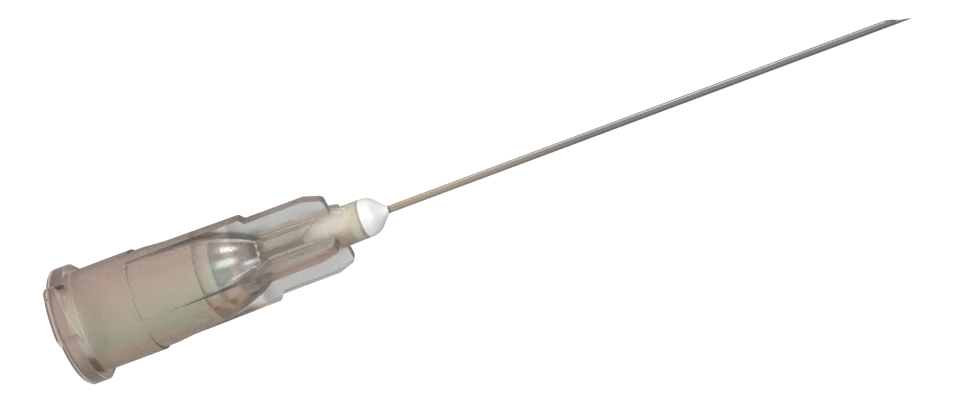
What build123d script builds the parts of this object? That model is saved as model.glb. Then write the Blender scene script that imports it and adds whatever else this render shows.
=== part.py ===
from build123d import *

import os
from math import atan, cos, degrees, hypot, pi, radians, sin, tan

# Hypodermic needle: a moulded hub, a bead of adhesive and a ground steel cannula.
# Millimetres. The origin is the middle of the hub's rear face, and +Z runs to the point.
# Heights are measured along Z from that rear face. The four fins stand on the diagonals
# between the X and Y axes, and the two locking lugs lie on the Y axis.

# Flange at the hub's rear
flange_diameter = 6.76
flange_height = 1.32
flange_rear_bevel = 0.17
flange_front_bevel = 0.30
flange_root_bevel = 0.08

# Two lugs that turn into the syringe's locking collar, each a short stretch of its thread
lug_diameter = 7.74
lug_middle_height = 0.98
lug_lead = 5.0
lug_sharp_end = -116.0
lug_ramp_start = -68.0
lug_ramp_end = -57.0
lug_corner_round = 0.24
lug_rear_bevel = 0.17

# Wedge-shaped pocket in the flange, in front of each lug's sharp end
pocket_depth = 0.34
pocket_start = -120.0
pocket_fade_end = -100.0
pocket_rear = 0.55
pocket_front = 1.12

# Scar on one lug's rear edge, where the hub was broken from its runner
scar_angle = -103.7
scar_width = 0.10
scar_depth = 0.16
scar_height = 0.25

# Female Luer socket, a 6 % taper on its diameter
socket_mouth = 4.30
socket_taper = 0.06
socket_depth = 8.35
socket_mouth_break = 0.10

# Chamber and funnel that lead from the socket to the cannula's bore
chamber_diameter = 2.70
chamber_length = 0.75
funnel_mouth = 1.90
funnel_length = 0.62

# Barrel, and the four windows that leave the dome, the nose and the fins standing
barrel_diameter = 5.86
window_turn = 45.0
window_rear = 4.74
window_step = 0.115
window_taper_start = 5.40
dome_start = 8.40
dome_start_diameter = 5.14
neck_height = 11.92
neck_diameter = 2.40
neck_fillet = 0.50
nose_front = 18.02
nose_front_diameter = 2.19

# Fins: their thickness where the windows start and at their front, and their outline
fin_rear_thickness = 0.78
fin_front_thickness = 0.58
fin_root_fillet = 0.25
fin_step = 11.60
fin_step_diameter = 5.70
fin_step_length = 0.25
fin_front_diameter = 5.03
fin_taper_start = 15.35
fin_front = 16.42
fin_nose_diameter = 4.30
fin_step_round = 0.20
fin_corner_round = 0.30

# Stainless tube of 27 gauge, ground to a lancet point
cannula_diameter = 0.41
lumen_diameter = 0.21
cannula_rear = 9.80
exposed_length = 31.70
bevel_angle = 12.1
bevel_length = 1.59
bevel_facing = -155.0
lancet_turn = 35.0
lancet_angle = 14.4

# Adhesive in a well in the nose, and its bead in front of the nose
bore_clearance = 0.02
well_diameter = 1.70
well_tip = 14.40
well_shoulder = 15.90
bead_length = 1.39
bead_diameter = 2.18
bead_shoulder_length = 0.80
bead_shoulder_diameter = 1.60

# Sizes that follow
flange_radius = flange_diameter / 2
lug_radius = lug_diameter / 2
barrel_radius = barrel_diameter / 2
cannula_radius = cannula_diameter / 2
bore_radius = cannula_radius + bore_clearance
well_radius = well_diameter / 2
bead_front = nose_front + bead_length
needle_tip = bead_front + exposed_length
window_floor_radius = barrel_radius - window_step
dome_start_radius = dome_start_diameter / 2
neck_radius = neck_diameter / 2
nose_front_radius = nose_front_diameter / 2
nose_slope = (neck_radius - nose_front_radius) / (nose_front - neck_height)
fin_nose_root_radius = nose_front_radius + nose_slope * (nose_front - fin_front)
socket_end_radius = (socket_mouth - socket_taper * socket_depth) / 2
chamber_end = socket_depth + chamber_length
funnel_end = chamber_end + funnel_length
cut_margin = 1.0
window_reach = barrel_radius + cut_margin


def around(radius, angle):
    """Return the point at a radius and an angle in degrees about the needle's axis."""
    return Vector(radius * cos(radians(angle)), radius * sin(radians(angle)))


# Space that one window takes, from the barrel's shoulder to the front of the fins
with BuildPart() as window:
    for side, mode in ((Plane.XZ, Mode.ADD), (Plane.YZ, Mode.INTERSECT)):
        with BuildSketch(side):
            with BuildLine():
                Polyline(
                    (fin_rear_thickness / 2, window_rear),
                    (window_reach, window_rear),
                    (window_reach, fin_front),
                    (fin_front_thickness / 2, fin_front),
                    close=True,
                )
            make_face()
        extrude(amount=window_reach, both=True, mode=mode)
    with BuildSketch(Plane.XZ) as floor:
        with BuildLine():
            wall = Line((window_floor_radius, window_taper_start), (dome_start_radius, dome_start))
            dome = TangentArc(wall @ 1, (neck_radius, neck_height), tangent=wall % 1)
            Polyline(
                dome @ 1,
                (nose_front_radius, nose_front),
                (0, nose_front),
                (0, window_rear - cut_margin),
                (window_floor_radius, window_rear - cut_margin),
                wall @ 0,
            )
        make_face()
        fillet(floor.vertices().sort_by_distance((neck_radius, neck_height))[0], neck_fillet)
    revolve(axis=Axis.Z, mode=Mode.SUBTRACT)

    def at_fin_root(edge):
        """Tell whether an edge lies where the window's floor meets one of its two fins."""
        middle = edge @ 0.5
        along = abs((edge @ 0).Z - (edge @ 1).Z)
        return hypot(middle.X, middle.Y) < barrel_radius and along > window_step

    fillet(window.edges().filter_by(at_fin_root), fin_root_fillet)


# One locking lug: flat behind, sloped in front as the thread is, with a sharp end and a ramped one
with BuildPart() as lug:
    with BuildSketch():
        with BuildLine():
            crest = JernArc(
                around(lug_radius, lug_sharp_end),
                around(1, lug_sharp_end + 90),
                lug_radius,
                lug_ramp_start - lug_sharp_end,
            )
            Polyline(
                crest @ 1,
                around(flange_radius - flange_rear_bevel, lug_ramp_end),
                around(barrel_radius, lug_ramp_start),
                around(barrel_radius, lug_sharp_end),
                crest @ 0,
            )
        make_face()
    extrude(amount=flange_height)
    lug_middle = (lug_sharp_end + lug_ramp_start) / 2
    lead_angle = degrees(atan(lug_lead / (2 * pi * lug_radius)))
    slope_plane = Plane(
        origin=around(lug_radius, lug_middle) + Vector(0, 0, lug_middle_height),
        x_dir=around(1, lug_middle),
        z_dir=Vector(0, 0, 1) - around(1, lug_middle + 90) * tan(radians(lead_angle)),
    )
    split(bisect_by=slope_plane, keep=Keep.BOTTOM)
    corner = around(lug_radius, lug_sharp_end)
    fillet(lug.edges().filter_by(Axis.Z).sort_by_distance(corner)[0], lug_corner_round)
    crest_middle = around(lug_radius, lug_middle)
    chamfer(lug.edges().group_by(Axis.Z)[0].sort_by_distance(crest_middle)[0], lug_rear_bevel)


# Pocket that one lug's sharp end leaves in the flange
with BuildPart() as pocket:
    with BuildSketch(Plane.XY.offset(pocket_rear)):
        with BuildLine():
            Polyline(
                around(flange_radius - pocket_depth, pocket_start),
                around(flange_radius + cut_margin, pocket_start),
                around(flange_radius + cut_margin, pocket_fade_end),
                around(flange_radius, pocket_fade_end),
                close=True,
            )
        make_face()
    extrude(amount=pocket_front - pocket_rear)


# Hub: a solid of revolution with its windows, pockets and lugs, hollowed for the syringe and the tube
with BuildPart() as hub:
    with BuildSketch(Plane.XZ) as outline:
        with BuildLine():
            Polyline(
                (0, 0),
                (flange_radius - flange_rear_bevel, 0),
                (flange_radius, flange_rear_bevel),
                (flange_radius, flange_height - flange_front_bevel),
                (flange_radius - flange_front_bevel, flange_height),
                (barrel_radius + flange_root_bevel, flange_height),
                (barrel_radius, flange_height + flange_root_bevel),
                (barrel_radius, window_rear),
                (fin_step_diameter / 2, fin_step),
                (fin_front_diameter / 2, fin_step + fin_step_length),
                (fin_front_diameter / 2, fin_taper_start),
                (fin_nose_diameter / 2, fin_front),
                (fin_nose_root_radius, fin_front),
                (nose_front_radius, nose_front),
                (0, nose_front),
                close=True,
            )
        make_face()
        rounds = (
            ((fin_step_diameter / 2, fin_step), fin_step_round),
            ((fin_front_diameter / 2, fin_step + fin_step_length), fin_step_round),
            ((fin_nose_diameter / 2, fin_front), fin_corner_round),
        )
        for corner, radius in rounds:
            fillet(outline.vertices().sort_by_distance(corner)[0], radius)
    revolve(axis=Axis.Z)
    with PolarLocations(0, 4, start_angle=window_turn):
        add(window.part, mode=Mode.SUBTRACT)
    with PolarLocations(0, 2):
        add(pocket.part, mode=Mode.SUBTRACT)
    with PolarLocations(0, 2):
        add(lug.part)
    scar_plane = Plane(origin=around(lug_radius, scar_angle), x_dir=around(1, scar_angle))
    with BuildSketch(scar_plane):
        Rectangle(2 * scar_depth, scar_width)
    extrude(amount=scar_height, mode=Mode.SUBTRACT)
    with BuildSketch(Plane.XZ):
        with BuildLine():
            Polyline(
                (0, 0),
                (socket_mouth / 2 + socket_mouth_break, 0),
                (socket_mouth / 2, socket_mouth_break),
                (socket_end_radius, socket_depth),
                (chamber_diameter / 2, socket_depth),
                (chamber_diameter / 2, chamber_end),
                (funnel_mouth / 2, chamber_end),
                (bore_radius, funnel_end),
                (bore_radius, well_tip),
                (well_radius, well_shoulder),
                (well_radius, nose_front),
                (0, nose_front),
                close=True,
            )
        make_face()
    revolve(axis=Axis.Z, mode=Mode.SUBTRACT)


# Cannula: a tube with a ground bevel and the two lancet facets at its point
with BuildPart() as cannula:
    with BuildSketch(Plane.XY.offset(cannula_rear)):
        Circle(cannula_radius)
        Circle(lumen_diameter / 2, mode=Mode.SUBTRACT)
    extrude(amount=needle_tip - cannula_rear)
    facing = around(1, bevel_facing)
    heel = facing * cannula_radius + Vector(0, 0, needle_tip - bevel_length)
    bevel_normal = facing * cos(radians(bevel_angle)) + Vector(0, 0, sin(radians(bevel_angle)))
    split(bisect_by=Plane(origin=heel, z_dir=bevel_normal), keep=Keep.BOTTOM)
    point = Vector(0, 0, needle_tip) - facing * cannula_radius
    for turn in (-lancet_turn, lancet_turn):
        side = around(1, bevel_facing + turn)
        facet_normal = side * cos(radians(lancet_angle)) + Vector(0, 0, sin(radians(lancet_angle)))
        split(bisect_by=Plane(origin=point, z_dir=facet_normal), keep=Keep.BOTTOM)


# Adhesive: it fills the well round the cannula and stands in front of the nose as a bead
with BuildPart() as adhesive:
    with BuildSketch(Plane.XZ):
        with BuildLine():
            Polyline(
                (cannula_radius, bead_front),
                (cannula_radius, well_tip),
                (bore_radius, well_tip),
                (well_radius, well_shoulder),
                (well_radius, nose_front),
                (bead_diameter / 2, nose_front),
            )
            slope = Line(
                (cannula_radius, bead_front),
                (bead_shoulder_diameter / 2, nose_front + bead_shoulder_length),
            )
            TangentArc(slope @ 1, (bead_diameter / 2, nose_front), tangent=slope % 1)
        make_face()
    revolve(axis=Axis.Z)


os.makedirs("parts", exist_ok=True)
hub.part.label = "hub"
export_step(hub.part, "parts/hub.step")
cannula.part.label = "cannula"
export_step(cannula.part, "parts/cannula.step")
adhesive.part.label = "adhesive"
export_step(adhesive.part, "parts/adhesive.step")
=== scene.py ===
"""Dresses the hypodermic needle: its moulded hub, its bead of adhesive and its ground steel tube.

Everything is in metres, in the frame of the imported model: the needle stands on its hub, and +Z runs to
its point. Lower and upper sides are those of the photograph, where +X lies low and -X lies high.
"""

import logging
import math
from dataclasses import dataclass, field
from enum import Enum
from typing import Sequence

import bpy
from mathutils import Matrix, Vector

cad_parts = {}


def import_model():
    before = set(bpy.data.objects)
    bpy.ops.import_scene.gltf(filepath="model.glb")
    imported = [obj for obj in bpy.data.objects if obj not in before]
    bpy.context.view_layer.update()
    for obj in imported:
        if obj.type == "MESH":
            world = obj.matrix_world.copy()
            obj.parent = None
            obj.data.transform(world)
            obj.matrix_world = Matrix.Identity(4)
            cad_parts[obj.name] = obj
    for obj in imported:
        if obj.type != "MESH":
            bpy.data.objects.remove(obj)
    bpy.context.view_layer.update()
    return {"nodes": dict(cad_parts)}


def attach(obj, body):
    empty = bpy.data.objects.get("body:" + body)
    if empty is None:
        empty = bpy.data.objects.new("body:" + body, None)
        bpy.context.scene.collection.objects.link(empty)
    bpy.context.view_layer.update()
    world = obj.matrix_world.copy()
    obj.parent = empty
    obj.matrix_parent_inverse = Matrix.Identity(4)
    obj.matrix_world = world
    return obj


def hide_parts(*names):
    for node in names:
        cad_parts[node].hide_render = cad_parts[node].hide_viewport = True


LOG = logging.getLogger("needle")

MM = 0.001
WHITE = (1.0, 1.0, 1.0)
LEVEL_SCALE = (1.0, 1.0, 0.0)
BEVEL_SAMPLES = 8
FRONT = math.radians(-73.7)

Colour = tuple[float, float, float]
Span = tuple[float, float]
Socket = bpy.types.NodeSocket
Value = Socket | float | Sequence[float]


class NeedlePart(Enum):
    """The needle's own pieces, by the names of their nodes."""

    HUB = "hub"
    ADHESIVE = "adhesive"
    CANNULA = "cannula"


class Blend(Enum):
    """What a blend mixes: its data type, and the places of its two inputs and its result on the node."""

    NUMBER = ("FLOAT", 2, 3, 0)
    COLOUR = ("RGBA", 6, 7, 2)


def rgba(colour: Colour) -> tuple[float, float, float, float]:
    """Return a colour with full opacity, as Blender's sockets take it."""
    return (*colour, 1.0)


def heading(bearing: float) -> Vector:
    """Return the level direction at a bearing about +Z, in radians."""
    return Vector((math.cos(bearing), math.sin(bearing), 0.0))


def raised(bearing: float, height: float) -> Vector:
    """Return the direction at a bearing about +Z and a height above the floor, both in radians."""
    return heading(bearing) * math.cos(height) + Vector((0, 0, math.sin(height)))


@dataclass(frozen=True)
class Grain:
    """Smooth noise.

    Args:
        scale: Waves per metre, or per unit of stretched coordinates.
        detail: How many finer layers are added.
    """

    scale: float
    detail: float


@dataclass
class NodeSheet:
    """A node tree, with short ways to add, set and join its nodes.

    Args:
        tree: The node tree of a material or of the world.
    """

    tree: bpy.types.NodeTree

    @property
    def shader(self) -> bpy.types.ShaderNode:
        """Return the material's main shader."""
        return self.tree.nodes["Principled BSDF"]

    def add(self, kind: str, **settings: object) -> bpy.types.ShaderNode:
        """Add a node.

        Args:
            kind: The node's type, without its ShaderNode prefix.
            settings: Attributes to set on the node.

        Returns:
            The new node.
        """
        node = self.tree.nodes.new("ShaderNode" + kind)
        for attribute, value in settings.items():
            setattr(node, attribute, value)
        return node

    def feed(self, socket: Socket, value: Value) -> None:
        """Join an output to an input socket, or set the socket to a constant.

        Args:
            socket: The input socket.
            value: An output, a number, a vector or a colour.
        """
        if isinstance(value, Socket):
            self.tree.links.new(value, socket)
        elif socket.type == "RGBA":
            socket.default_value = rgba(value)
        else:
            socket.default_value = value

    def set(self, **values: Value) -> None:
        """Feed the main shader's sockets, with spaces in their names written as underscores."""
        for name, value in values.items():
            self.feed(self.shader.inputs[name.replace("_", " ")], value)

    def place(self) -> Socket:
        """Return the piece's own coordinates."""
        return self.add("TexCoord").outputs["Object"]

    def normal(self) -> Socket:
        """Return the way that the surface faces, in the piece's own coordinates."""
        return self.add("TexCoord").outputs["Normal"]

    def scaled(self, scale: Sequence[float]) -> Socket:
        """Return the piece's own coordinates, stretched.

        Args:
            scale: How much each axis is multiplied.

        Returns:
            The stretched coordinates.
        """
        mapping = self.add("Mapping")
        self.feed(mapping.inputs["Scale"], scale)
        self.feed(mapping.inputs["Vector"], self.place())
        return mapping.outputs["Vector"]

    def parts(self, vector: Socket) -> tuple[Socket, Socket, Socket]:
        """Split a vector.

        Args:
            vector: The vector.

        Returns:
            Its X, its Y and its Z.
        """
        node = self.add("SeparateXYZ")
        self.feed(node.inputs["Vector"], vector)
        return node.outputs["X"], node.outputs["Y"], node.outputs["Z"]

    def noise(self, grain: Grain, place: Socket | None = None) -> Socket:
        """Return smooth noise from 0 to 1.

        Args:
            grain: Its scale and detail.
            place: Coordinates to read, or None for the piece's own.

        Returns:
            The noise.
        """
        node = self.add("TexNoise")
        self.feed(node.inputs["Scale"], grain.scale)
        self.feed(node.inputs["Detail"], grain.detail)
        self.feed(node.inputs["Vector"], place or self.place())
        return node.outputs["Fac"]

    def ramp(self, value: Socket, low: float, high: float, start: float = 0.0, end: float = 1.0) -> Socket:
        """Map a value smoothly from one range onto another, held at the ends.

        Args:
            value: The value to map.
            low: The lowest value read.
            high: The highest value read.
            start: What the lowest value becomes.
            end: What the highest value becomes.

        Returns:
            The mapped value.
        """
        node = self.add("MapRange", interpolation_type="SMOOTHSTEP")
        self.feed(node.inputs["Value"], value)
        self.feed(node.inputs["From Min"], low)
        self.feed(node.inputs["From Max"], high)
        self.feed(node.inputs["To Min"], start)
        self.feed(node.inputs["To Max"], end)
        return node.outputs["Result"]

    def blend(self, factor: Socket, first: Value, second: Value, kind: Blend = Blend.COLOUR) -> Socket:
        """Blend two colours or two numbers.

        Args:
            factor: 0 for the first, 1 for the second.
            first: The first, or an output that gives it.
            second: The second, or an output that gives it.
            kind: What is blended.

        Returns:
            The blend.
        """
        data_type, first_place, second_place, result_place = kind.value
        node = self.add("Mix", data_type=data_type)
        self.feed(node.inputs["Factor"], factor)
        self.feed(node.inputs[first_place], first)
        self.feed(node.inputs[second_place], second)
        return node.outputs[result_place]

    def work_out(self, operation: str, *values: Value, clamped: bool = False) -> Socket:
        """Work out a number from others.

        Args:
            operation: What is done with them, by Blender's own name.
            values: The numbers, or outputs that give them.
            clamped: Whether the result is held between 0 and 1.

        Returns:
            The result.
        """
        node = self.add("Math", operation=operation, use_clamp=clamped)
        for value, socket in zip(values, node.inputs):
            self.feed(socket, value)
        return node.outputs["Value"]

    def gauge(self, operation: str, *vectors: Value) -> Socket:
        """Work out a number from one or two vectors.

        Args:
            operation: What is done with them, by Blender's own name.
            vectors: The vectors, or outputs that give them.

        Returns:
            The number.
        """
        node = self.add("VectorMath", operation=operation)
        for vector, socket in zip(vectors, node.inputs):
            self.feed(socket, vector)
        return node.outputs["Value"]

    def bump(self, height: Socket, depth: float, edge: float = 0.0) -> None:
        """Raise the surface by a height, and round the shading of its edges.

        Args:
            height: The height, from 0 to 1.
            depth: What a height of 1 stands for, in metres.
            edge: The radius of the rounded edges, or 0 for sharp ones.
        """
        node = self.add("Bump")
        self.feed(node.inputs["Distance"], depth)
        self.feed(node.inputs["Height"], height)
        if edge:
            rounded = self.add("Bevel", samples=BEVEL_SAMPLES)
            self.feed(rounded.inputs["Radius"], edge)
            self.feed(node.inputs["Normal"], rounded.outputs["Normal"])
        self.set(Normal=node.outputs["Normal"])


def new_material(name: str) -> tuple[bpy.types.Material, NodeSheet]:
    """Make a material.

    Args:
        name: Its name.

    Returns:
        The material and its node tree.
    """
    material = bpy.data.materials.new(name)
    material.use_nodes = True
    return material, NodeSheet(material.node_tree)


class Measure(Enum):
    """What the edge of a tint is measured on."""

    ACROSS = "distance along X"
    DEPTH = "distance along Y"
    SIDEWAYS = "distance along X, either way"
    HEIGHT = "distance along Z"
    RADIUS = "distance from the axis"
    PROUD = "distance outside the body's own surface of revolution"
    FACING = "radius where a surface faces to or from the axis, and less where it faces sideways"


Measures = dict[Measure, Socket]


@dataclass(frozen=True)
class Step:
    """A soft step on one measure, from nothing at one value to all at another.

    Args:
        measure: What is measured.
        none: The value where it is nil.
        full: The value where it is full.
    """

    measure: Measure
    none: float
    full: float

    def share(self, sheet: NodeSheet, measures: Measures) -> Socket:
        """Tell how full the step is.

        Args:
            sheet: The material's node tree.
            measures: An output for each measure.

        Returns:
            The share, from 0 to 1.
        """
        low, high = sorted((self.none, self.full))
        rising = self.full > self.none
        return sheet.ramp(measures[self.measure], low, high, float(not rising), float(rising))


@dataclass(frozen=True)
class Region:
    """A part of the plastic with soft edges, where several steps are full at once.

    Args:
        steps: Its edges.
    """

    steps: tuple[Step, ...]

    def share(self, sheet: NodeSheet, measures: Measures) -> Socket:
        """Tell how far a point is inside the region.

        Args:
            sheet: The material's node tree.
            measures: An output for each measure.

        Returns:
            The share, from 0 to 1.
        """
        share, *others = (step.share(sheet, measures) for step in self.steps)
        for other in others:
            share = sheet.work_out("MULTIPLY", share, other)
        return share


# Many of these patches are painted light and painted shade.
@dataclass(frozen=True)
class TintAndPaintedLight:
    """A colour laid over the plastic in one region.

    Args:
        name: What it colours.
        colour: The colour.
        steps: The region's edges.
    """

    name: str
    colour: Colour
    steps: tuple[Step, ...]


ON_DOME = (Step(Measure.HEIGHT, 8.7 * MM, 9.1 * MM), Step(Measure.HEIGHT, 11.9 * MM, 11.2 * MM))
ON_NOSE = Step(Measure.HEIGHT, 14.3 * MM, 15.4 * MM)
OFF_NECK = Step(Measure.RADIUS, 1.25 * MM, 1.6 * MM)
OFF_BODY = Step(Measure.PROUD, 0.0, 0.02 * MM)
ON_FIN_EDGE = Step(Measure.FACING, 1.5 * MM, 2.0 * MM)
ON_FRONT_FIN = (
    Step(Measure.HEIGHT, 11.5 * MM, 12.2 * MM),
    Step(Measure.ACROSS, 0.2 * MM, 0.5 * MM),
    Step(Measure.DEPTH, -0.2 * MM, -0.5 * MM),
)


@dataclass(frozen=True)
class SmokyPlastic:
    """Clear moulded plastic with a smoky tint: dark where it is thick, light in the thin fins.

    Args:
        pink: Its painted colour cast on the side of -X, from the light through it.
        green: Its painted colour cast on the side of +X, from the light through it.
        turn: Where along X the pink starts to turn and where the green is reached.
        mottle: The unevenness of that turn.
        mottle_share: How far the unevenness shifts the turn.
        mottle_span: The shifted turn's values where the plastic is all pink and all green.
        tints_and_painted_light: Colours laid over it, in order.
        body_rear: The body's height and radius where it starts to narrow.
        body_front: The body's height and radius at its neck.
        hollows: The walls of the socket and of the chamber, which are rougher.
        absorbed: The colour left of white light that has gone through it.
        density: How fast it absorbs, per metre.
        roughness: The outer skin's least and greatest roughness.
        haze: The unevenness of that roughness.
        haze_span: The unevenness's values for the least and the greatest.
        inner_roughness: The hollows' roughness.
        clearness: The share of light that goes through its skin.
        refraction: Its index of refraction.
        gloss: The share of its polished outer layer.
        gloss_roughness: That layer's roughness.
        skin: The fine unevenness of its skin.
        skin_depth: The depth of that unevenness.
        edge_radius: The radius of its softened edges.
    """

    # Painted light: a pink cast on the upper side and a green one on the lower, blended along X.
    pink: Colour = (0.86, 0.722, 0.65)
    green: Colour = (0.735, 0.78, 0.66)
    turn: Span = (-2.5 * MM, 2.5 * MM)
    mottle: Grain = Grain(420.0, 2.0)
    mottle_share: float = 0.6
    mottle_span: Span = (0.25, 1.35)
    # Those marked below as painted are painted light and painted shade.
    tints_and_painted_light: tuple[TintAndPaintedLight, ...] = (
        # Painted light: an amber cast on the lower side, from how the light falls through it.
        TintAndPaintedLight("lower side", (0.86, 0.66, 0.51), (Step(Measure.ACROSS, 2.40 * MM, 2.85 * MM),)),
        # Painted shade on the upper side.
        TintAndPaintedLight("upper side", (0.68, 0.58, 0.55), (Step(Measure.ACROSS, -1.9 * MM, -2.4 * MM),)),
        # Painted light on the dome.
        TintAndPaintedLight("dome, upper part", (1.0, 0.93, 0.88), ON_DOME),
        # Painted light: a greenish glow on the dome's lower part.
        TintAndPaintedLight(
            "dome, lower part",
            (0.83, 1.0, 0.90),
            (
                *ON_DOME,
                Step(Measure.ACROSS, -0.6 * MM, 0.3 * MM),
                Step(Measure.ACROSS, 1.9 * MM, 1.5 * MM),
            ),
        ),
        # Painted shade on the front of the dome.
        TintAndPaintedLight(
            "front of the dome",
            (0.24, 0.19, 0.155),
            (
                Step(Measure.HEIGHT, 10.55 * MM, 10.9 * MM),
                Step(Measure.HEIGHT, 12.1 * MM, 12.0 * MM),
            ),
        ),
        # Painted light: a warm glow at the roots of the lower fins.
        TintAndPaintedLight(
            "roots of the lower fins",
            (1.0, 0.76, 0.56),
            (
                Step(Measure.HEIGHT, 8.2 * MM, 8.5 * MM),
                Step(Measure.HEIGHT, 11.8 * MM, 11.2 * MM),
                Step(Measure.ACROSS, 1.9 * MM, 2.2 * MM),
            ),
        ),
        TintAndPaintedLight("neck", (0.58, 0.56, 0.50), (Step(Measure.HEIGHT, 11.2 * MM, 12.2 * MM),)),
        TintAndPaintedLight("nose", (1.0, 0.98, 0.88), (ON_NOSE,)),
        # Painted shade on the lower side of the nose.
        TintAndPaintedLight(
            "lower side of the nose",
            (0.64, 0.54, 0.46),
            (ON_NOSE, Step(Measure.ACROSS, 0.2 * MM, 0.9 * MM)),
        ),
        TintAndPaintedLight(
            "ring near the nose's front",
            (0.88, 0.89, 0.69),
            (
                Step(Measure.HEIGHT, 17.30 * MM, 17.45 * MM),
                Step(Measure.HEIGHT, 17.90 * MM, 17.75 * MM),
            ),
        ),
        TintAndPaintedLight(
            "front edge of the nose",
            (0.58, 0.54, 0.50),
            (Step(Measure.HEIGHT, 17.88 * MM, 17.94 * MM),),
        ),
        # Painted shade on the rear of the flange.
        TintAndPaintedLight("rear of the flange", (0.58, 0.48, 0.425), (Step(Measure.HEIGHT, 1.05 * MM, 1.0 * MM),)),
        # Painted shade at the sides of the flange's front, where its edges turn away.
        TintAndPaintedLight(
            "sides of the flange's front",
            (0.24, 0.195, 0.17),
            (
                Step(Measure.HEIGHT, 1.0 * MM, 1.1 * MM),
                Step(Measure.HEIGHT, 1.5 * MM, 1.45 * MM),
                Step(Measure.RADIUS, 2.95 * MM, 3.0 * MM),
                Step(Measure.SIDEWAYS, 2.3 * MM, 2.8 * MM),
            ),
        ),
        TintAndPaintedLight("fins", (0.605, 0.635, 0.64), (Step(Measure.HEIGHT, 9.5 * MM, 12.0 * MM), OFF_NECK)),
        TintAndPaintedLight(
            "roots of the upper fins",
            (0.90, 0.87, 0.80),
            (
                Step(Measure.HEIGHT, 12.0 * MM, 12.4 * MM),
                Step(Measure.RADIUS, 1.16 * MM, 1.3 * MM),
                Step(Measure.RADIUS, 1.8 * MM, 1.5 * MM),
                Step(Measure.ACROSS, 0.0, -0.4 * MM),
            ),
        ),
        # Painted light on the flanks of the front fin, which faces the lights.
        TintAndPaintedLight("flanks of the front fin", (0.82, 0.80, 0.70), (*ON_FRONT_FIN, OFF_NECK)),
        # Painted shade on the outer edge of the front fin.
        TintAndPaintedLight("outer edge of the front fin", (0.80, 0.66, 0.60), (OFF_BODY, ON_FIN_EDGE, *ON_FRONT_FIN)),
        # Painted shade on the side walls of the windows.
        TintAndPaintedLight(
            "side walls of the windows",
            (0.34, 0.30, 0.27),
            (
                Step(Measure.FACING, 1.4 * MM, 0.8 * MM),
                Step(Measure.RADIUS, 2.40 * MM, 2.50 * MM),
                Step(Measure.HEIGHT, 4.5 * MM, 4.7 * MM),
                Step(Measure.HEIGHT, 11.0 * MM, 9.5 * MM),
            ),
        ),
        # Painted shade on the outer edges of the upper fins.
        TintAndPaintedLight(
            "outer edges of the upper fins",
            (0.70, 0.66, 0.63),
            (
                OFF_BODY,
                ON_FIN_EDGE,
                Step(Measure.HEIGHT, 4.6 * MM, 9.0 * MM),
                Step(Measure.ACROSS, 0.3 * MM, -0.8 * MM),
            ),
        ),
    )
    body_rear: tuple[float, float] = (8.4 * MM, 2.83 * MM)
    body_front: tuple[float, float] = (12.0 * MM, 2.05 * MM)
    hollows: tuple[Region, Region] = (
        Region((Step(Measure.HEIGHT, 8.45 * MM, 8.40 * MM), Step(Measure.RADIUS, 2.2 * MM, 2.1 * MM))),
        Region((Step(Measure.HEIGHT, 9.80 * MM, 9.75 * MM), Step(Measure.RADIUS, 1.5 * MM, 1.45 * MM))),
    )
    absorbed: Colour = (0.55, 0.39, 0.29)
    density: float = 450.0
    roughness: Span = (0.192, 0.30)
    haze: Grain = Grain(900.0, 3.0)
    haze_span: Span = (0.3, 0.7)
    inner_roughness: float = 0.42
    clearness: float = 0.86
    refraction: float = 1.49
    gloss: float = 0.5
    gloss_roughness: float = 0.17
    skin: Grain = Grain(2600.0, 4.0)
    skin_depth: float = 0.0025 * MM
    edge_radius: float = 0.05 * MM

    def measures(self, sheet: NodeSheet) -> Measures:
        """Make the measures that the tints read.

        Args:
            sheet: The material's node tree.

        Returns:
            An output for each measure.
        """
        across, depth, height = sheet.parts(sheet.place())
        level = sheet.scaled(LEVEL_SCALE)
        radius = sheet.gauge("LENGTH", level)
        (rear, rear_radius), (front, front_radius) = self.body_rear, self.body_front
        body = sheet.ramp(height, rear, front, rear_radius, front_radius)
        return {
            Measure.ACROSS: across,
            Measure.DEPTH: depth,
            Measure.SIDEWAYS: sheet.work_out("ABSOLUTE", across),
            Measure.HEIGHT: height,
            Measure.RADIUS: radius,
            Measure.PROUD: sheet.work_out("SUBTRACT", radius, body),
            Measure.FACING: sheet.work_out("ABSOLUTE", sheet.gauge("DOT_PRODUCT", level, sheet.normal())),
        }

    def colour(self, sheet: NodeSheet, measures: Measures) -> Socket:
        """Lay the patches of tint, painted light and painted shade over the plastic's mottled, painted
        colour cast.

        Args:
            sheet: The material's node tree.
            measures: An output for each measure.

        Returns:
            The colour.
        """
        turned = sheet.ramp(measures[Measure.ACROSS], *self.turn)
        shifted = sheet.work_out("MULTIPLY_ADD", sheet.noise(self.mottle), self.mottle_share, turned)
        colour = sheet.blend(sheet.ramp(shifted, *self.mottle_span), self.pink, self.green)
        for tint in self.tints_and_painted_light:
            colour = sheet.blend(Region(tint.steps).share(sheet, measures), colour, tint.colour)
        return colour

    def rough(self, sheet: NodeSheet, measures: Measures) -> Socket:
        """Make the roughness: hazy on the outer skin, and even in the hollows.

        Args:
            sheet: The material's node tree.
            measures: An output for each measure.

        Returns:
            The roughness.
        """
        inner = sheet.work_out("MAXIMUM", *(hollow.share(sheet, measures) for hollow in self.hollows))
        outer = sheet.ramp(sheet.noise(self.haze), *self.haze_span, *self.roughness)
        return sheet.blend(inner, outer, self.inner_roughness, Blend.NUMBER)

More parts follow.
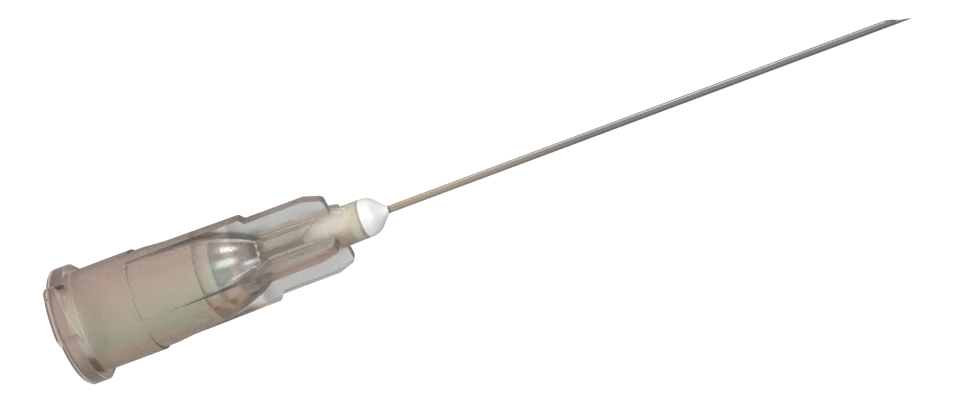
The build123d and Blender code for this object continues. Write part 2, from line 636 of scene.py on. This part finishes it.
    def material(self) -> bpy.types.Material:
        """Make the finish as a material.

        Returns:
            The material.
        """
        made, sheet = new_material("smoky_plastic")
        measures = self.measures(sheet)
        sheet.set(
            Base_Color=self.colour(sheet, measures),
            Roughness=self.rough(sheet, measures),
            Transmission_Weight=self.clearness,
            IOR=self.refraction,
            Coat_Weight=self.gloss,
            Coat_Roughness=self.gloss_roughness,
            Coat_IOR=self.refraction,
        )
        sheet.bump(sheet.noise(self.skin), self.skin_depth, self.edge_radius)
        inside = sheet.add("VolumeAbsorption")
        sheet.feed(inside.inputs["Color"], self.absorbed)
        sheet.feed(inside.inputs["Density"], self.density)
        sheet.feed(sheet.tree.nodes["Material Output"].inputs["Volume"], inside.outputs["Volume"])
        return made


@dataclass(frozen=True)
class WhiteResin:
    """White cured resin with a smooth, slightly uneven skin.

    Args:
        colour: The bead's colour.
        shade: The colour of its clouds.
        clouds: The noise that lays the clouds.
        cloud_span: The noise's values where a cloud starts and where it is full.
        in_well: The colour of the resin inside the nose, painted lighter than the bead for the light that
            reaches it through the plastic.
        nose_front: The height of the nose's front, where the bead starts.
        front_fade: How far behind it the two colours blend.
        roughness: The skin's roughness.
        scatter: The share of light that scatters under the skin.
        scatter_reach: How far its red, green and blue scatter, beside each other.
        scatter_depth: How far they scatter, in metres.
        gloss: The share of its polished outer layer.
        gloss_roughness: That layer's roughness.
        skin: The unevenness of its skin.
        skin_depth: The depth of that unevenness.
    """

    colour: Colour = (0.71, 0.705, 0.70)
    shade: Colour = (0.66, 0.65, 0.64)
    clouds: Grain = Grain(1100.0, 3.0)
    cloud_span: Span = (0.35, 0.75)
    in_well: Colour = (0.92, 0.91, 0.88)
    nose_front: float = 18.0 * MM
    front_fade: float = 0.05 * MM
    roughness: float = 0.34
    scatter: float = 0.35
    scatter_reach: tuple[float, float, float] = (1.0, 0.9, 0.8)
    scatter_depth: float = 0.4 * MM
    gloss: float = 0.25
    gloss_roughness: float = 0.12
    skin: Grain = Grain(1900.0, 4.0)
    skin_depth: float = 0.012 * MM

    def material(self) -> bpy.types.Material:
        """Make the finish as a material.

        Returns:
            The material.
        """
        made, sheet = new_material("white_resin")
        _, _, height = sheet.parts(sheet.place())
        bead = sheet.blend(sheet.ramp(sheet.noise(self.clouds), *self.cloud_span), self.colour, self.shade)
        in_bead = sheet.ramp(height, self.nose_front - self.front_fade, self.nose_front)
        sheet.set(
            # Painted light: the resin in the well is lighter than the same resin in the bead.
            Base_Color=sheet.blend(in_bead, self.in_well, bead),
            Roughness=self.roughness,
            Subsurface_Weight=self.scatter,
            Subsurface_Radius=self.scatter_reach,
            Subsurface_Scale=self.scatter_depth,
            Coat_Weight=self.gloss,
            Coat_Roughness=self.gloss_roughness,
        )
        sheet.bump(sheet.noise(self.skin), self.skin_depth)
        return made


@dataclass(frozen=True)
class DrawnSteel:
    """Drawn stainless tube, browner near its hub, with lines along it and ground facets at its point.

    Args:
        steel: The tube's colour.
        warm: Its browner colour near the hub.
        warm_span: The heights where the brown starts to fade and where it ends.
        ground: The colour of the ground facets.
        ground_facing: How far up a surface faces where it starts to be ground, and where it is in full.
        collar: The dark colour of the tube just in front of the bead: painted shade.
        collar_span: The heights where the dark collar starts and ends.
        collar_fade: How softly it does.
        lines: The noise that makes the drawing lines.
        line_stretch: How much that noise is squeezed across the tube and along it.
        line_span: The noise's values for the least and the greatest roughness.
        line_depth: The depth of the lines.
        roughness: The least and the greatest roughness.
    """

    steel: Colour = (0.44, 0.435, 0.43)
    warm: Colour = (0.85, 0.69, 0.555)
    warm_span: Span = (19.4 * MM, 34.0 * MM)
    ground: Colour = (0.42, 0.42, 0.42)
    ground_facing: Span = (0.08, 0.16)
    collar: Colour = (0.14, 0.14, 0.13)
    collar_span: Span = (19.25 * MM, 19.58 * MM)
    collar_fade: float = 0.05 * MM
    lines: Grain = Grain(1.0, 3.0)
    line_stretch: tuple[float, float, float] = (22000.0, 22000.0, 160.0)
    line_span: Span = (0.3, 0.7)
    line_depth: float = 0.003 * MM
    roughness: Span = (0.22, 0.36)

    def material(self) -> bpy.types.Material:
        """Make the finish as a material.

        Returns:
            The material.
        """
        made, sheet = new_material("drawn_steel")
        _, _, height = sheet.parts(sheet.place())
        _, _, upward = sheet.parts(sheet.normal())
        lines = sheet.noise(self.lines, sheet.scaled(self.line_stretch))
        start, end = self.collar_span
        # Painted shade: a dark collar on the tube where it leaves the bead.
        in_collar = sheet.work_out(
            "MULTIPLY",
            sheet.ramp(height, start - self.collar_fade, start),
            sheet.ramp(height, end - self.collar_fade, end, 1.0, 0.0),
        )
        colour = sheet.blend(sheet.ramp(height, *self.warm_span), self.warm, self.steel)
        colour = sheet.blend(sheet.ramp(upward, *self.ground_facing), colour, self.ground)
        sheet.set(
            Base_Color=sheet.blend(in_collar, colour, self.collar),
            Metallic=1.0,
            Roughness=sheet.ramp(lines, *self.line_span, *self.roughness),
        )
        sheet.bump(lines, self.line_depth)
        return made


@dataclass(frozen=True)
class LightPool:
    """A round patch of the floor that glossy reflections show lit.

    Args:
        bearing: The bearing of its centre about +Z, in radians.
        distance: How far its centre is from the needle's axis.
        radius: Where its light starts to fade.
        fade: Where its light ends.
        colour: Its colour.
    """

    bearing: float
    distance: float
    radius: float
    fade: float
    colour: Colour

    def centre(self) -> Vector:
        """Return the place of its centre."""
        return heading(self.bearing) * self.distance


@dataclass(frozen=True)
class PaleFloor:
    """Plain pale studio floor.

    Glossy reflections show it dim, with two pools of light, as in a darkened studio.

    Args:
        colour: Its colour, as lights fall on it.
        seen: Its own glow, as seen and as it lights the needle.
        dim: The glow that reflections show in front of the needle.
        behind: The glow that they show behind it.
        front_edge: How far on both sides of the needle the two blend.
        pools: The lit patches.
        roughness: Its roughness.
    """

    colour: Colour = (0.25, 0.25, 0.25)
    seen: Colour = (0.93, 0.93, 0.93)
    dim: Colour = (0.19, 0.19, 0.19)
    behind: Colour = (0.09, 0.09, 0.09)
    front_edge: float = 0.02
    pools: tuple[LightPool, ...] = (
        LightPool(math.radians(206.0), 0.165, 0.050, 0.092, (2.0, 2.0, 2.0)),
        LightPool(math.radians(-40.0), 0.165, 0.020, 0.060, (0.62, 0.62, 0.62)),
    )
    roughness: float = 0.9

    def mirrored(self, sheet: NodeSheet) -> Socket:
        """Make the glow that reflections show.

        Args:
            sheet: The material's node tree.

        Returns:
            The glow.
        """
        place = sheet.place()
        ahead = sheet.gauge("DOT_PRODUCT", place, heading(FRONT))
        in_front = sheet.ramp(ahead, -self.front_edge, self.front_edge)
        glow = sheet.blend(in_front, self.behind, self.dim)
        for pool in self.pools:
            away = sheet.gauge("DISTANCE", place, pool.centre())
            lit = sheet.ramp(away, pool.radius, pool.fade, 1.0, 0.0)
            glow = sheet.blend(lit, glow, pool.colour)
        return glow

    def material(self) -> bpy.types.Material:
        """Make the finish as a material.

        Returns:
            The material.
        """
        made, sheet = new_material("pale_floor")
        path = sheet.add("LightPath").outputs
        glossy = sheet.work_out("SUBTRACT", path["Is Reflection Ray"], path["Is Diffuse Ray"], clamped=True)
        sheet.set(
            Base_Color=self.colour,
            Roughness=self.roughness,
            Specular_IOR_Level=0.0,
            Emission_Color=sheet.blend(glossy, self.seen, self.mirrored(sheet)),
            Emission_Strength=1.0,
        )
        return made


@dataclass
class ResinFilling:
    """The white resin that fills the nose's well round the tube and stands in front of it as a bead.

    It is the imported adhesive's own form with a rounded meniscus. It wets the hub and the tube: its skin
    lies a hair inside both, so that the white shows through the nose with no gap.

    Args:
        tube_radius: The tube's radius.
        bore_radius: The radius of the hub's bore.
        well_radius: The radius of the well.
        well_tip: The height where the well starts, at the bore.
        well_shoulder: The height where the well has its full radius.
        nose_front: The height of the nose's front.
        bead_radius: The bead's radius at the nose.
        bead_length: The bead's length.
        shoulder_radius: The bead's radius where its slope starts.
        shoulder_length: How far in front of the nose that is.
        meniscus: How far the resin climbs along the tube.
        meniscus_power: How sharply it climbs.
        wetting: How far its skin lies inside the hub and the tube.
        sides: The number of sides of a ring.
        arc_steps: The number of steps along the bead's round flank.
        slope_steps: The number of steps along its slope.
        smooth_angle: The sharpest angle that is shaded smooth, in radians.
        merge_distance: The distance within which points are merged.
    """

    tube_radius: float = 0.205 * MM
    bore_radius: float = 0.225 * MM
    well_radius: float = 0.85 * MM
    well_tip: float = 14.40 * MM
    well_shoulder: float = 15.90 * MM
    nose_front: float = 18.02 * MM
    bead_radius: float = 1.09 * MM
    bead_length: float = 1.39 * MM
    shoulder_radius: float = 0.80 * MM
    shoulder_length: float = 0.80 * MM
    meniscus: float = 0.10 * MM
    meniscus_power: int = 6
    wetting: float = 0.012 * MM
    sides: int = 96
    arc_steps: int = 14
    slope_steps: int = 8
    smooth_angle: float = math.radians(35.0)
    merge_distance: float = 0.0001 * MM

    def bead_arc(self) -> list[tuple[float, float]]:
        """Work out the bead's round flank, from the nose's edge to where its slope starts.

        Returns:
            The radius and the height of each ring.
        """
        shoulder = Vector((self.shoulder_radius, self.nose_front + self.shoulder_length))
        tip = Vector((self.tube_radius, self.nose_front + self.bead_length))
        foot = Vector((self.bead_radius, self.nose_front))
        slope = (shoulder - tip).normalized()
        inward = Vector((slope.y, -slope.x))
        chord = foot - shoulder
        radius = chord.length_squared / (2 * chord.dot(inward))
        centre = shoulder + inward * radius
        first = math.atan2(foot.y - centre.y, foot.x - centre.x)
        last = math.atan2(shoulder.y - centre.y, shoulder.x - centre.x)
        turns = [first + (last - first) * step / self.arc_steps for step in range(self.arc_steps + 1)]
        return [(centre.x + radius * math.cos(turn), centre.y + radius * math.sin(turn)) for turn in turns]

    def rings(self) -> list[tuple[float, float]]:
        """Work out the rings of the resin's skin, from the well's tip out to the bead's.

        Returns:
            The radius and the height of each ring.
        """
        inner = self.tube_radius - self.wetting
        tip = self.well_tip - self.wetting
        foot = self.nose_front - self.wetting
        rings = [
            (inner, tip),
            (self.bore_radius + self.wetting, tip),
            (self.well_radius + self.wetting, self.well_shoulder - self.wetting),
            (self.well_radius + self.wetting, foot),
            (self.bead_radius, foot),
            *self.bead_arc(),
        ]
        for step in range(1, self.slope_steps + 1):
            share = step / self.slope_steps
            radius = self.shoulder_radius + (inner - self.shoulder_radius) * share
            slope = self.shoulder_length + (self.bead_length - self.shoulder_length) * share
            rings.append((radius, self.nose_front + slope + self.meniscus * share**self.meniscus_power))
        return rings

    def build(self) -> bpy.types.Object:
        """Turn the resin, ring after ring, and close it along the tube.

        Returns:
            The finished piece.
        """
        rings = self.rings()
        radius, height = rings[0]
        bpy.ops.object.select_all(action="DESELECT")
        bpy.ops.mesh.primitive_circle_add(vertices=self.sides, radius=radius, location=(0, 0, height))
        piece = bpy.context.active_object
        piece.name = "white_resin_bead"
        bpy.ops.object.transform_apply(location=True, rotation=True, scale=True)
        bpy.ops.object.mode_set(mode="EDIT")
        bpy.ops.mesh.select_all(action="SELECT")
        for next_radius, next_height in [*rings[1:], rings[0]]:
            bpy.ops.mesh.extrude_region_move(TRANSFORM_OT_translate={"value": (0, 0, next_height - height)})
            scale = next_radius / radius
            bpy.ops.transform.resize(value=(scale, scale, 1.0), center_override=(0, 0, next_height))
            radius, height = next_radius, next_height
        bpy.ops.mesh.select_all(action="SELECT")
        bpy.ops.mesh.remove_doubles(threshold=self.merge_distance)
        bpy.ops.mesh.normals_make_consistent(inside=False)
        bpy.ops.object.mode_set(mode="OBJECT")
        bpy.ops.object.shade_smooth_by_angle(angle=self.smooth_angle)
        return piece

    def dress(self, finish: WhiteResin) -> None:
        """Build the resin in its finish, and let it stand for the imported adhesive.

        Args:
            finish: The finish that it gets.
        """
        piece = self.build()
        piece.data.materials.append(finish.material())
        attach(piece, "root")
        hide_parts(NeedlePart.ADHESIVE.value)
        LOG.info("built %s in place of %s", piece.name, NeedlePart.ADHESIVE.value)


@dataclass
class CarriedNode:
    """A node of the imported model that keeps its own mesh.

    Args:
        part: Which of the needle's pieces it is.
    """

    part: NeedlePart

    def dress(self, finish: SmokyPlastic | DrawnSteel, nodes: dict[str, bpy.types.Object]) -> None:
        """Give the node its finish.

        Args:
            finish: The finish that it gets.
            nodes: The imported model's nodes, by name.
        """
        piece = nodes[self.part.value]
        made = finish.material()
        for slot in piece.material_slots:
            slot.material = made
        LOG.info("dressed %s in %s", piece.name, made.name)


@dataclass(frozen=True)
class PhotoCamera:
    """The photograph's camera: nearly parallel rays, from a metre away.

    The needle points up to the right in the picture, and its point leans towards the camera.

    Args:
        picture_width: The picture's width in pixels.
        picture_height: The picture's height in pixels.
        pixels_per_mm: The picture's scale at the middle of the hub's rear face.
        rear_face_x: How far that middle is from the picture's left edge, in pixels.
        rear_face_y: How far it is from the picture's top edge, in pixels.
        lean: How far the point leans towards the camera, in radians.
        rise: How steeply the needle rises in the picture, in radians.
        distance: The camera's distance from the needle's rear face.
        sensor: The width of the camera's sensor, in millimetres.
        clip_start: The nearest distance that it sees.
    """

    picture_width: float = 956.0
    picture_height: float = 407.0
    pixels_per_mm: float = 18.063
    rear_face_x: float = 71.9
    rear_face_y: float = 327.8
    lean: float = math.radians(15.6)
    rise: float = math.radians(20.44)
    distance: float = 1.0
    sensor: float = 36.0
    clip_start: float = 0.05

    def axes(self) -> tuple[Vector, Vector, Vector]:
        """Work out how the camera is turned.

        Returns:
            The picture's right, the picture's up, and the direction from the needle to the camera.
        """
        back = raised(FRONT, self.lean)
        side = Vector((0, 0, 1)).cross(heading(FRONT))
        along = back.cross(side)
        right = side * math.sin(self.rise) + along * math.cos(self.rise)
        up = along * math.sin(self.rise) - side * math.cos(self.rise)
        return right, up, back

    def make(self) -> bpy.types.Object:
        """Make the camera and set it as the scene's own.

        Returns:
            The camera.
        """
        right, up, back = self.axes()
        metres_per_pixel = MM / self.pixels_per_mm
        aim_right = (self.picture_width / 2 - self.rear_face_x) * metres_per_pixel
        aim_up = (self.rear_face_y - self.picture_height / 2) * metres_per_pixel
        data = bpy.data.cameras.new("photo_camera")
        data.sensor_width = self.sensor
        data.lens = self.sensor * self.distance / (self.picture_width * metres_per_pixel)
        data.clip_start = self.clip_start
        camera = bpy.data.objects.new("photo_camera", data)
        bpy.context.scene.collection.objects.link(camera)
        place = right * aim_right + up * aim_up + back * self.distance
        camera.matrix_world = Matrix.Translation(place) @ Matrix((right, up, back)).transposed().to_4x4()
        bpy.context.scene.camera = camera
        return camera


@dataclass(frozen=True)
class Softbox:
    """One soft square light, as the needle sees it.

    Args:
        name: Its name.
        bearing: Its bearing about +Z, in radians.
        height: Its angle above the floor, in radians.
        size: The length of its side, in metres.
        power: Its power in watts.
    """

    name: str
    bearing: float
    height: float
    size: float
    power: float

    def make(self, reach: float, target: Vector) -> bpy.types.Object:
        """Make the light, aimed at the needle.

        Args:
            reach: How far away it stands.
            target: The point that it faces.

        Returns:
            The light.
        """
        data = bpy.data.lights.new(self.name, "AREA")
        data.size = self.size
        data.energy = self.power
        light = bpy.data.objects.new(self.name, data)
        bpy.context.scene.collection.objects.link(light)
        away = raised(self.bearing, self.height)
        light.location = target + away * reach
        light.rotation_mode = "QUATERNION"
        light.rotation_quaternion = away.to_track_quat("Z", "Y")
        return light


@dataclass
class Studio:
    """The pale floor, the soft lights and the sky.

    Args:
        floor_size: The length of the floor's side.
        horizon: The sky's strength near the horizon.
        zenith: Its strength overhead.
        sky_span: How far up a ray points where the first starts to fade and where the second is reached.
        backdrop: The sky's strength as the camera sees it.
        reach: How far away the lights stand.
        target: The point that they face.
        lights: The lights.
    """

    floor_size: float = 6.0
    horizon: float = 0.30
    zenith: float = 0.16
    sky_span: Span = (0.40, 0.85)
    backdrop: float = 1.0
    reach: float = 0.8
    target: Vector = field(default_factory=lambda: Vector((0, 0, 12 * MM)))
    lights: tuple[Softbox, ...] = (
        Softbox("key", math.radians(-95.0), math.radians(26.0), 0.26, 2.6),
        Softbox("side", math.radians(-137.0), math.radians(24.0), 0.20, 1.8),
        Softbox("neck", math.radians(-72.0), math.radians(48.0), 0.14, 1.2),
        Softbox("fill", math.radians(-52.0), math.radians(32.0), 0.50, 1.4),
    )

    def make_floor(self) -> None:
        """Make the floor."""
        bpy.ops.object.select_all(action="DESELECT")
        bpy.ops.mesh.primitive_plane_add(size=self.floor_size)
        floor = bpy.context.active_object
        floor.name = "studio_floor"
        floor.data.materials.append(PaleFloor().material())

    def make_sky(self) -> None:
        """Make the sky: a soft gradient that the camera sees as plain white."""
        world = bpy.data.worlds.new("studio_sky")
        world.use_nodes = True
        sheet = NodeSheet(world.node_tree)
        _, _, upward = sheet.parts(sheet.add("TexCoord").outputs["Generated"])
        fade = sheet.ramp(upward, *self.sky_span, self.horizon, self.zenith)
        seen = sheet.add("LightPath").outputs["Is Camera Ray"]
        background = sheet.tree.nodes["Background"]
        sheet.feed(background.inputs["Color"], WHITE)
        sheet.feed(background.inputs["Strength"], sheet.blend(seen, fade, self.backdrop, Blend.NUMBER))
        bpy.context.scene.world = world

    def make(self) -> None:
        """Make the floor, the lights and the sky, and show colours as they are."""
        self.make_floor()
        for light in self.lights:
            light.make(self.reach, self.target)
        self.make_sky()
        bpy.context.scene.view_settings.view_transform = "Standard"


def main() -> None:
    """Load the frame, make the studio and dress the needle."""
    logging.basicConfig(level=logging.INFO)
    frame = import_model()
    PhotoCamera().make()
    Studio().make()
    CarriedNode(NeedlePart.HUB).dress(SmokyPlastic(), frame["nodes"])
    CarriedNode(NeedlePart.CANNULA).dress(DrawnSteel(), frame["nodes"])
    ResinFilling().dress(WhiteResin())


if __name__ == "__main__":
    main()
